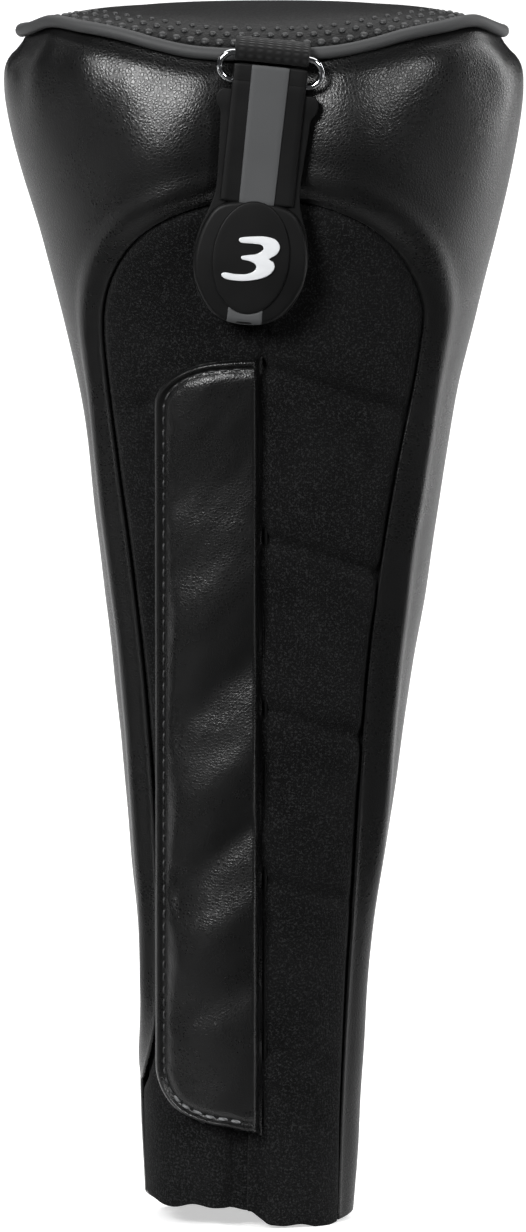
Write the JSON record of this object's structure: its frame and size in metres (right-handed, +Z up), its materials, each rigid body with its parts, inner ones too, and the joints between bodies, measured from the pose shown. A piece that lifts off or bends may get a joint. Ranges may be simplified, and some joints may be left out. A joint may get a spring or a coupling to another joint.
{
  "type": "golf club head cover",
  "caption": "Soft cover for a wood's head and upper shaft: padded leather body, knit front, closure flap, and a number tag swinging on a wire ring.",
  "frame": {"origin": "at the neck mouth, in the hem's plane and on the front seam's line, where the club's shaft comes out", "axes": "+Z up from the neck hem to the crown, -Y out of the front with the tag and flap, +X to the viewer's right of the front"},
  "size_m": [0.1434, 0.1022, 0.3398],
  "materials": {
    "black_leather": "glossy pebbled",
    "crown_synthetic": "satin with raised dots",
    "piping_gray": "matt",
    "knit_black": "matt knit",
    "seam_tape": "matt twill",
    "foam": "open cell",
    "fleece": "brushed",
    "elastic": "ribbed",
    "cord_cotton": "twisted",
    "hook_and_loop": "napped",
    "flap_backing": "matt",
    "webbing": "woven",
    "thread": "waxed",
    "chrome": "polished",
    "tag_rubber": "satin",
    "stripe_gray": "matt",
    "numeral_silver": "satin metallic"
  },
  "bodies": {
    "cover": {"crown_panel": "crown_synthetic", "crown_padding": "foam", "crown_lining": "fleece", "crown_piping": "piping_gray", "piping_cord": "cord_cotton", "left_leather_panel": "black_leather", "right_leather_panel": "black_leather", "left_front_fabric": "knit_black", "right_front_fabric": "knit_black", "body_foam": "foam", "head_lining": "fleece", "neck_lining": "fleece", "slit_gusset": "knit_black", "back_seam_tape": "seam_tape", "neck_hem": "seam_tape", "neck_elastic": "elastic", "flap_welt": "black_leather", "loop_strip": "hook_and_loop", "webbing_loop": "webbing"},
    "flap": {"closure_flap": "black_leather", "flap_facing": "flap_backing", "hook_strip": "hook_and_loop", "flap_topstitch": "thread"},
    "ring": {"oval_ring": "chrome"},
    "tag": {"tag_strap": "tag_rubber", "tag_body": "tag_rubber", "tag_stripe": "stripe_gray", "tag_badge": "tag_rubber", "tag_numeral": "numeral_silver"}
  },
  "joints": [
    {"name": "flap_hinge", "type": "hinge", "parent": "cover", "child": "flap", "pos_m": [0, -0.03565, 0.135], "axis": [0, -0.0698, 0.9976], "range_deg": [0, 160], "stiffness_Nm_per_rad": 0.02},
    {"name": "ring_swing", "type": "hinge", "parent": "cover", "child": "ring", "pos_m": [0.0025, -0.05017, 0.332], "axis": [-0.9945, 0, 0.1045], "range_deg": [0, 75]},
    {"name": "tag_swing", "type": "hinge", "parent": "ring", "child": "tag", "pos_m": [0.00169, -0.05017, 0.32434], "axis": [-0.9945, 0, 0.1045], "range_deg": [-3, 120]}
  ]
}
